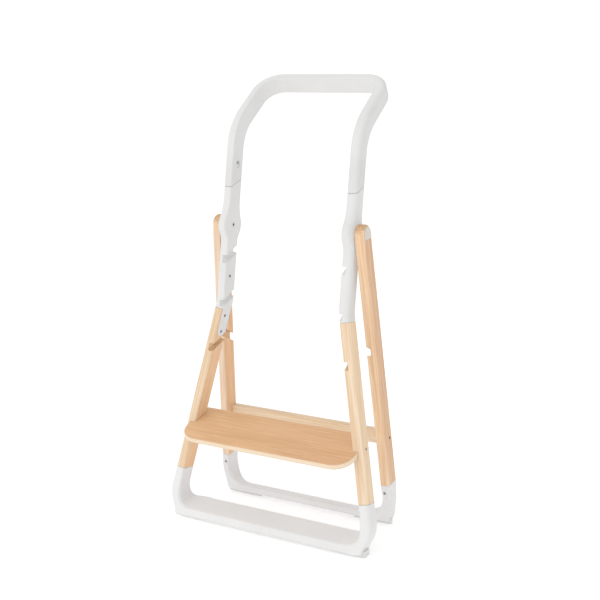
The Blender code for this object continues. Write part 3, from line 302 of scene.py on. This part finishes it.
def plywood(name, normal, top_point, thickness, seed):
    """Veneered board: fine-figured face grain along X, layered plies on the edge."""
    g = Surface(name)
    coords = g.coords()
    up = Vector(normal)
    depth = g.math("SUBTRACT", Vector(top_point).dot(up), g.dot(coords, up))
    depth_share = g.math("DIVIDE", depth, thickness)      # 0 at the top face, 1 at the bottom
    grain_axis = Vector((1, 0, 0))
    turned = g.mapping(coords, rot=grain_rotation(grain_axis, up.cross(grain_axis)))
    place = g.mapping(turned, loc=(seed, seed * 1.7, seed * 0.4))

    # Face veneer.
    tone = g.noise(g.stretch(place, z=0.05), scale=26.0, detail=4, rough=0.55, distort=0.2)
    lines = g.noise(g.stretch(place, z=0.03), scale=250.0, detail=4, rough=0.62, distort=0.3)
    fine = g.noise(g.stretch(place, z=0.035), scale=640.0, rough=0.55)
    fleck = g.remap(g.cells(g.stretch(place, z=0.12), scale=420.0), span=(0.18, 0.04))
    growth = g.math("ADD", g.math("MULTIPLY", g.remap(tone, span=(0.32, 0.68)), 0.5),
                    g.math("MULTIPLY", g.remap(lines, span=(0.35, 0.66)), 0.5))
    face = g.mix(growth, (0.705, 0.398, 0.190), (0.930, 0.603, 0.348))
    face = g.mix(g.remap(fine, span=(0.52, 0.72)), face, (0.62, 0.335, 0.155), share=0.44)
    face = g.mix(fleck, face, (0.52, 0.29, 0.14), share=0.36)
    # Painted shade: the veneer is drawn slightly darker towards the right-hand end.
    face = g.tint(g.remap(g.split(coords)[0], span=(-0.02, 0.16)), face, (0.965, 0.930, 0.905))

    # Plies: pale long-grain layers between darker end-grain ones, with thin glue lines.
    layer = g.math("MULTIPLY", depth_share, BOARD_PLIES)
    is_odd = g.math("MODULO", g.math("FLOOR", layer), 2.0)
    within = g.math("FRACT", layer)
    glue = g.math("MAXIMUM", g.remap(within, span=(0.10, 0.02)),
                  g.remap(within, span=(0.90, 0.98)))
    end_grain = g.noise(g.mapping(coords), scale=1400.0, detail=2, rough=0.6)
    long_grain = g.noise(g.stretch(place, z=0.03), scale=700.0, detail=2, rough=0.6)
    pale = g.mix(g.remap(long_grain, span=(0.35, 0.65)),
                 (0.900, 0.715, 0.520), (0.950, 0.800, 0.610))
    brown = g.mix(g.remap(end_grain, span=(0.35, 0.65)),
                  (0.835, 0.655, 0.465), (0.905, 0.740, 0.550))
    plies = g.mix(is_odd, pale, brown)
    plies = g.mix(glue, plies, (0.55, 0.37, 0.22), share=0.14)
    # Painted shade: the ply edge is drawn darker towards the board's underside.
    plies = g.mix(g.remap(depth_share, span=(0.84, 0.97), to=(0.0, 0.65)),
                  plies, (0.50, 0.43, 0.35))

    flatness = g.facing(up, g.coords("Normal"))
    colour = g.mix(g.remap(flatness, span=(0.88, 0.975)), plies, face)
    relief = g.bump(lines, strength=0.08, distance=0.0003,
                    normal=g.rounded_normal(radius=0.0010))
    g.shade({
        "Base Color": g.calmed(colour),
        "Roughness": g.remap(fine, span=(0.3, 0.7), to=(0.40, 0.54)),
        "Coat Weight": 0.10,
        "Coat Roughness": 0.35,
        "Normal": g.bump(fine, strength=0.12, distance=0.00015, normal=relief),
    })
    return g.material


def steel(name, axis, centre, seed, tone):
    """Blotchy plated steel, turned round its axis; no tone means a white-lacquered head."""
    g = Surface(name)
    coords = g.coords()
    offset = g.vector_math("SUBTRACT", coords, centre)
    on_axis = g.add("VectorMath", {0: axis, 3: g.dot(offset, axis)},
                    operation="SCALE").outputs["Vector"]
    radius = g.vector_math("LENGTH", g.vector_math("SUBTRACT", offset, on_axis))
    rings = g.math("SINE", g.math("MULTIPLY", radius, 26000.0))
    blotch = g.noise(g.mapping(coords, loc=(seed, 0, seed)), scale=420.0, rough=0.6)
    if tone is None:              # lacquer round a dark disc of painted shade standing in for the socket
        socket = g.remap(radius, span=(0.0036, 0.0030))
        colour = g.mix(socket, (0.74, 0.735, 0.72), (0.10, 0.10, 0.10))
        metallic = g.math("MULTIPLY", socket, 0.8)
    else:
        colour = g.mix(g.remap(blotch, span=(0.35, 0.65)), scaled(tone, (0.78,) * 3), tone)
        metallic = 1.0
    g.shade({
        "Base Color": colour,
        "Metallic": metallic,
        "Roughness": g.remap(blotch, span=(0.3, 0.7), to=(0.24, 0.42)),
        "Normal": g.bump(rings, strength=0.12, distance=0.00005),
    })
    return g.material


def rubber(name, seed, tone=(0.83, 0.83, 0.82)):
    """Soft foot pad: matt, fine pebble, darker towards the sole."""
    g = Surface(name)
    place = g.mapping(g.coords(), loc=(seed, seed, 0))
    pebble = g.noise(place, scale=900.0, rough=0.6)
    cloud = g.noise(place, scale=60.0)
    sole_darkening = g.remap(g.split(g.coords())[2], span=(0.003, 0.0))
    colour = g.mix(g.remap(cloud, span=(0.35, 0.65)), scaled(tone, (0.9,) * 3), tone)
    g.shade({
        "Base Color": g.mix(sole_darkening, colour, (0.62, 0.61, 0.59), share=0.4),
        "Roughness": g.remap(cloud, span=(0.3, 0.7), to=(0.75, 0.9)),
        "Normal": g.bump(pebble, strength=0.3, distance=0.0002),
    })
    return g.material


def floor_white(name):
    """Matt white that glows a little, more so towards the camera."""
    g = Surface(name)
    cloud = g.noise(g.coords(), scale=3.0, detail=2)
    camera_glow = g.math("MULTIPLY", g.light_path("Is Camera Ray"), 0.07)
    g.shade({
        "Base Color": g.mix(g.remap(cloud, span=(0.3, 0.7)), (0.885,) * 3, (0.895,) * 3),
        "Roughness": 0.9,
        "Specular IOR Level": 0.1,
        "Emission Color": (1, 1, 1),
        "Emission Strength": g.math("ADD", 0.24, camera_glow),
    })
    return g.material


# ---------------------------------------------------------------- dress the pieces
def dress(name, material):
    slots = nodes[name].data.materials
    slots.clear()
    slots.append(material)


def centre_of(name):
    low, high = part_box(name)
    return [(a + b) / 2 for a, b in zip(low, high)]


def handle_seam():
    """Point and normal of the flat lower end of the handle's right-hand arm."""
    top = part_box("handle")[0][2] + HANDLE_END_ZONE
    faces = [face for face in nodes["handle"].data.polygons
             if face.center.x > 0 and face.normal.z < -0.85 and face.center.z < top]
    area = sum(face.area for face in faces)
    point = sum((face.center * face.area for face in faces), Vector()) / area
    normal = sum((face.normal * face.area for face in faces), Vector()).normalized()
    return point, normal


def dress_side(side, sign, seam):
    for end, splay, lean, seed in (
        ("front", FRONT_SPLAY, -FRONT_LEAN, 3.1 + sign),
        ("rear", REAR_SPLAY, REAR_LEAN, 7.7 + 2.3 * sign),
    ):
        leg = f"{side}_{end}_leg"
        dress(leg, beech(leg + "_beech", along=(sign * splay, lean, -1.0), across=(1, 0, 0),
                         seed=seed, **LEG_TONES[f"{side}_{end}"]))
    dress(side + "_front_post", white_plastic(side + "_post_plastic", seed=2.0 + sign,
                                              groove_painted_light=0.16, edge_shade=0.42, seam=seam))
    dress(side + "_pivot_cap", white_plastic(side + "_cap_plastic", seed=4.0 + sign,
                                             tone=(0.765, 0.70, 0.62)))
    dress(side + "_pivot_washer", white_plastic(side + "_washer_plastic", seed=6.0 + sign))


def dress_feet_and_fixings():
    for i, name in enumerate(sorted(nodes)):
        if name.endswith("_foot"):
            dress(name, rubber(name + "_rubber", seed=0.7 * i))
        elif name.endswith(("_screw", "_bolt", "_nut")):
            axis = (0, 1, 0) if name.endswith("base_screw") else (1, 0, 0)
            tone = next(tone for ending, tone in METAL_TONES if name.endswith(ending))
            dress(name, steel(name + "_zinc", axis, centre_of(name), seed=0.9 * i, tone=tone))


seam = handle_seam()
dress_side("left", -1, seam)
dress_side("right", 1, seam)
dress("handle", white_plastic("handle_plastic", seed=1.3, edge_shade=0.50, arm_shade_gain=0.94,
                              seam=seam))
# Painted light: the bases are drawn lighter than the other white mouldings, the front one
# slightly more.
dress("front_base", white_plastic("front_base_plastic", seed=8.1,
                                  tone=(0.845, 0.842, 0.838), top_light_gain=1.07))
dress("rear_base", white_plastic("rear_base_plastic", seed=9.4,
                                 tone=(0.835, 0.830, 0.825), top_light_gain=1.04))
# Painted shade: the side tint darkens the crossbar's faces square to its across direction.
dress("rear_crossbar", beech("crossbar_beech", along=(1, 0, 0), across=(0, REAR_LEAN, -1.0),
                             seed=12.6, light=(0.93, 0.75, 0.54), dark=(0.83, 0.60, 0.38),
                             side_shading_tint=(0.95, 0.93, 0.90)))
dress("step_board", plywood("board_plywood",
                            normal=(0, -math.sin(BOARD_TILT), math.cos(BOARD_TILT)),
                            top_point=BOARD_TOP, thickness=BOARD_THICKNESS, seed=5.2))
dress_feet_and_fixings()


# ---------------------------------------------------------------- studio
def add_floor():
    mesh = bpy.data.meshes.new("studio_floor")
    bm = bmesh.new()
    corners = ((-1, -1), (1, -1), (1, 1), (-1, 1))
    bm.faces.new([bm.verts.new((x * FLOOR_HALF, y * FLOOR_HALF, 0.0)) for x, y in corners])
    bm.to_mesh(mesh)
    bm.free()
    floor = bpy.data.objects.new("studio_floor", mesh)
    scene.collection.objects.link(floor)
    mesh.materials.append(floor_white("studio_floor_white"))


def add_world():
    """White surround: plain to the camera, brighter from the front left as light."""
    world = bpy.data.worlds.new("studio_world")
    scene.world = world
    g = Graph(world)
    towards_bright = g.dot(g.coords("Generated"), (-0.42, -0.75, 0.28))
    strength = g.remap(towards_bright, span=(-1.0, 1.0), to=(0.60, 1.06))
    lighting = g.add("Background", {"Color": (1, 1, 1), "Strength": strength})
    backdrop = g.add("Background", {"Color": (1, 1, 1), "Strength": 1.05})
    mixed = g.add("MixShader", {0: g.light_path("Is Camera Ray"),
                                1: lighting.outputs[0], 2: backdrop.outputs[0]})
    g.add("OutputWorld", {"Surface": mixed.outputs[0]})


def add_softbox():
    light = bpy.data.lights.new("key_softbox", "AREA")
    light.shape = "SQUARE"
    light.size = 2.4
    light.energy = 12
    place = Vector((-1.6, -3.6, 3.0))
    target = Vector((0, 0, 0.5))
    softbox = bpy.data.objects.new("key_softbox", light)
    softbox.location = place
    softbox.rotation_euler = (target - place).to_track_quat("-Z", "Y").to_euler()
    scene.collection.objects.link(softbox)


def add_camera():
    lens = bpy.data.cameras.new("photo_camera")
    lens.sensor_width = 36.0
    lens.lens = 64.72
    camera = bpy.data.objects.new("photo_camera", lens)
    camera.location = (1.283931, ORIGIN_Y - 2.1446766, LIFT + 1.089)
    camera.rotation_euler = (math.radians(78.367), 0, math.radians(29.37))
    scene.collection.objects.link(camera)
    scene.camera = camera


scene = bpy.context.scene
add_floor()
add_world()
add_softbox()
scene.view_settings.view_transform = "Standard"
scene.view_settings.look = "None"
add_camera()
